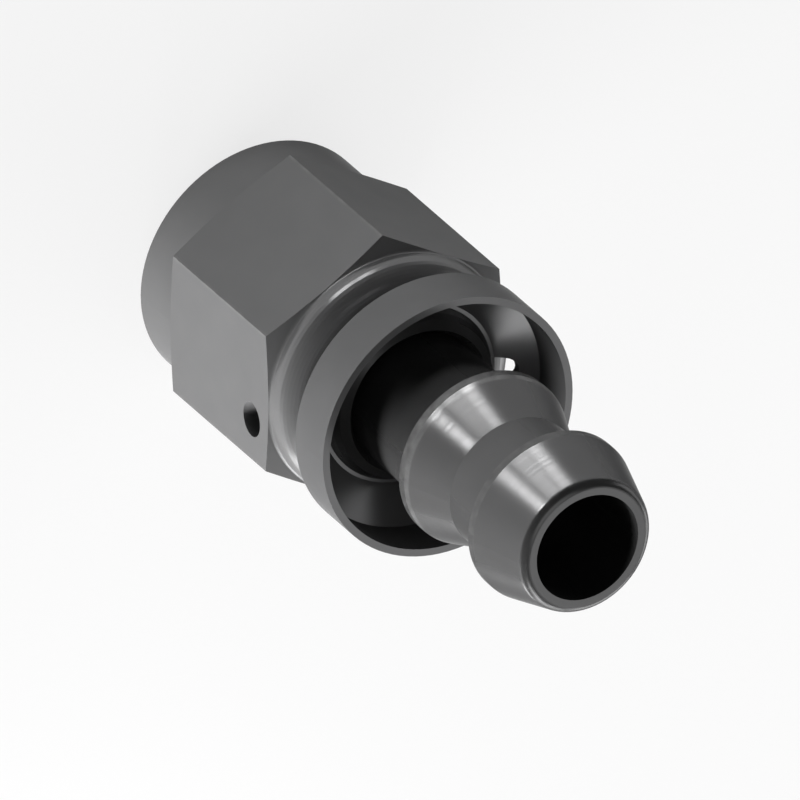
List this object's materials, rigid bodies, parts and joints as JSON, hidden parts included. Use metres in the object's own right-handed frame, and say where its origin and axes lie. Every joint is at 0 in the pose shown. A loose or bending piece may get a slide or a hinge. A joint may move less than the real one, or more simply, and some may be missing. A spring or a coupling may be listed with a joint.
{
  "type": "socketless hose fitting",
  "caption": "Straight push-on hose fitting: barbed nipple with a thin cup for the hose end and a hex swivel nut held on by a wire.",
  "frame": {"origin": "centre of the threaded end face of the nut, which the fitting stands on", "axes": "+Z along the fitting's axis towards the hose nose, +X out of the hex flat that the wire hole is drilled in, +Y to a corner of the hex"},
  "size_m": [0.0186, 0.0202, 0.0427],
  "materials": {
    "nipple_anodised": "black anodised, satin",
    "nut_anodised": "black anodised, satin",
    "cup_anodised": "black anodised, satin",
    "wire_steel": "drawn spring wire"
  },
  "bodies": {
    "nipple": {"hose_nipple": "nipple_anodised", "hose_cup": "cup_anodised", "retaining_wire": "wire_steel"},
    "nut": {"swivel_nut": "nut_anodised"}
  },
  "joints": [
    {"name": "nut_swivel", "type": "hinge", "parent": "nipple", "child": "nut", "pos_m": [0, 0, 0.0144], "axis": [0, 0, 1], "continuous": true}
  ]
}
